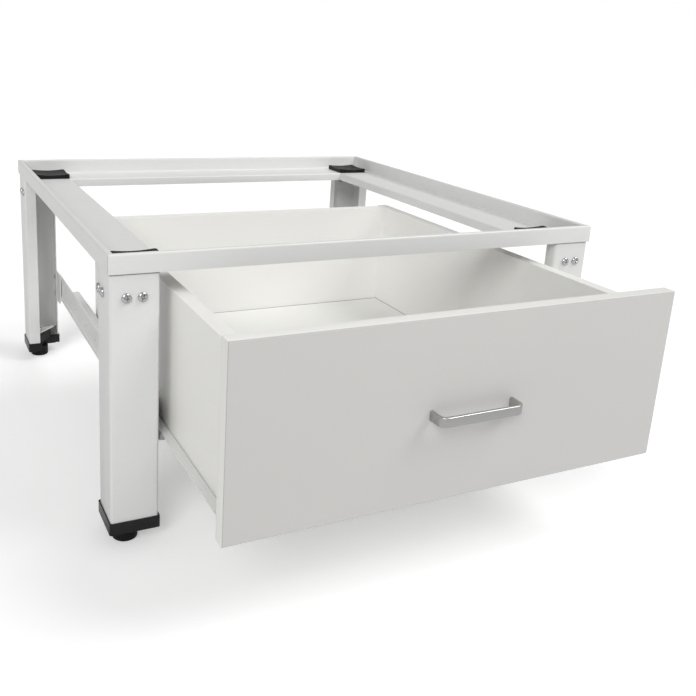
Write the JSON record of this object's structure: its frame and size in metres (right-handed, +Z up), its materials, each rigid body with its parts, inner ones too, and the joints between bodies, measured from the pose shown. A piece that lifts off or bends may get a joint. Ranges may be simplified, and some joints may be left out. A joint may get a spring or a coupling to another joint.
{
  "type": "washer pedestal drawer",
  "caption": "Steel laundry pedestal on four angle legs with rubber pads on a rimmed top frame and a drawer on roller slides.",
  "frame": {"origin": "on the floor, in the middle of the bounding box with the drawer open as in the picture", "axes": "+X to the right seen from the front, +Y towards the rear, +Z up; the drawer opens towards -Y"},
  "size_m": [0.6034, 0.802, 0.314],
  "materials": {
    "painted_steel": "satin white powder coat",
    "coated_steel": "smooth white epoxy coat",
    "coated_board": "white melamine-faced board, slightly warm",
    "floor_board": "white-faced hardboard",
    "cap_plastic": "black moulded plastic with a soft sheen",
    "rubber": "black rubber, matt",
    "zinc": "bright zinc-plated",
    "roller_plastic": "off-white plastic",
    "satin_aluminium": "satin",
    "dowel_wood": "plain beech"
  },
  "bodies": {
    "stand": {"front_rail": "painted_steel", "rear_rail": "painted_steel", "left_rail": "painted_steel", "right_rail": "painted_steel", "corner_bracket_fl": "painted_steel", "corner_bracket_fr": "painted_steel", "corner_bracket_rl": "painted_steel", "corner_bracket_rr": "painted_steel", "leg_fl": "painted_steel", "leg_fr": "painted_steel", "leg_rl": "painted_steel", "leg_rr": "painted_steel", "gusset_fl": "painted_steel", "gusset_fr": "painted_steel", "gusset_rl": "painted_steel", "gusset_rr": "painted_steel", "foot_cap_fl": "cap_plastic", "foot_cap_fr": "cap_plastic", "foot_cap_rl": "cap_plastic", "foot_cap_rr": "cap_plastic", "foot_fl": "rubber", "foot_fr": "rubber", "foot_rl": "rubber", "foot_rr": "rubber", "pad_fl": "rubber", "pad_fr": "rubber", "pad_rl": "rubber", "pad_rr": "rubber", "leg_screws": "zinc", "foot_screws": "zinc", "slide_rail_left": "coated_steel", "slide_rail_right": "coated_steel", "rail_plates": "coated_steel", "rail_screws": "zinc", "rail_axles": "zinc"},
    "drawer": {"drawer_front": "coated_board", "drawer_side_left": "coated_board", "drawer_side_right": "coated_board", "drawer_back": "coated_board", "drawer_floor": "floor_board", "drawer_dowels": "dowel_wood", "drawer_rail_left": "coated_steel", "drawer_rail_right": "coated_steel", "drawer_rail_screws": "zinc", "drawer_axles": "zinc", "handle": "satin_aluminium", "handle_screws": "zinc"},
    "rail_roller_left_body": {"rail_roller_left": "roller_plastic"},
    "rail_roller_right_body": {"rail_roller_right": "roller_plastic"},
    "drawer_roller_left_body": {"drawer_roller_left": "roller_plastic"},
    "drawer_roller_right_body": {"drawer_roller_right": "roller_plastic"}
  },
  "joints": [
    {"name": "drawer_slide", "type": "slide", "parent": "stand", "child": "drawer", "axis": [0, -1, 0], "range_m": [-0.184, 0.216]},
    {"name": "rail_roller_left_turn", "type": "hinge", "parent": "stand", "child": "rail_roller_left_body", "pos_m": [-0.2373, -0.16875, 0.1065], "axis": [1, 0, 0], "range_deg": [-1450, 1700]},
    {"name": "drawer_roller_left_turn", "type": "hinge", "parent": "drawer", "child": "drawer_roller_left_body", "pos_m": [-0.2405, 0.15525, 0.104], "axis": [1, 0, 0], "range_deg": [-1100, 1300]},
    {"name": "rail_roller_right_turn", "type": "hinge", "parent": "stand", "child": "rail_roller_right_body", "pos_m": [0.2373, -0.16875, 0.1065], "axis": [1, 0, 0], "range_deg": [-1450, 1700]},
    {"name": "drawer_roller_right_turn", "type": "hinge", "parent": "drawer", "child": "drawer_roller_right_body", "pos_m": [0.2405, 0.15525, 0.104], "axis": [1, 0, 0], "range_deg": [-1100, 1300]}
  ],
  "couplings": [
    {"joint": "rail_roller_left_turn", "follows": "drawer_slide", "rad_per_m": 133.33},
    {"joint": "drawer_roller_left_turn", "follows": "drawer_slide", "rad_per_m": 100},
    {"joint": "rail_roller_right_turn", "follows": "drawer_slide", "rad_per_m": 133.33},
    {"joint": "drawer_roller_right_turn", "follows": "drawer_slide", "rad_per_m": 100}
  ]
}
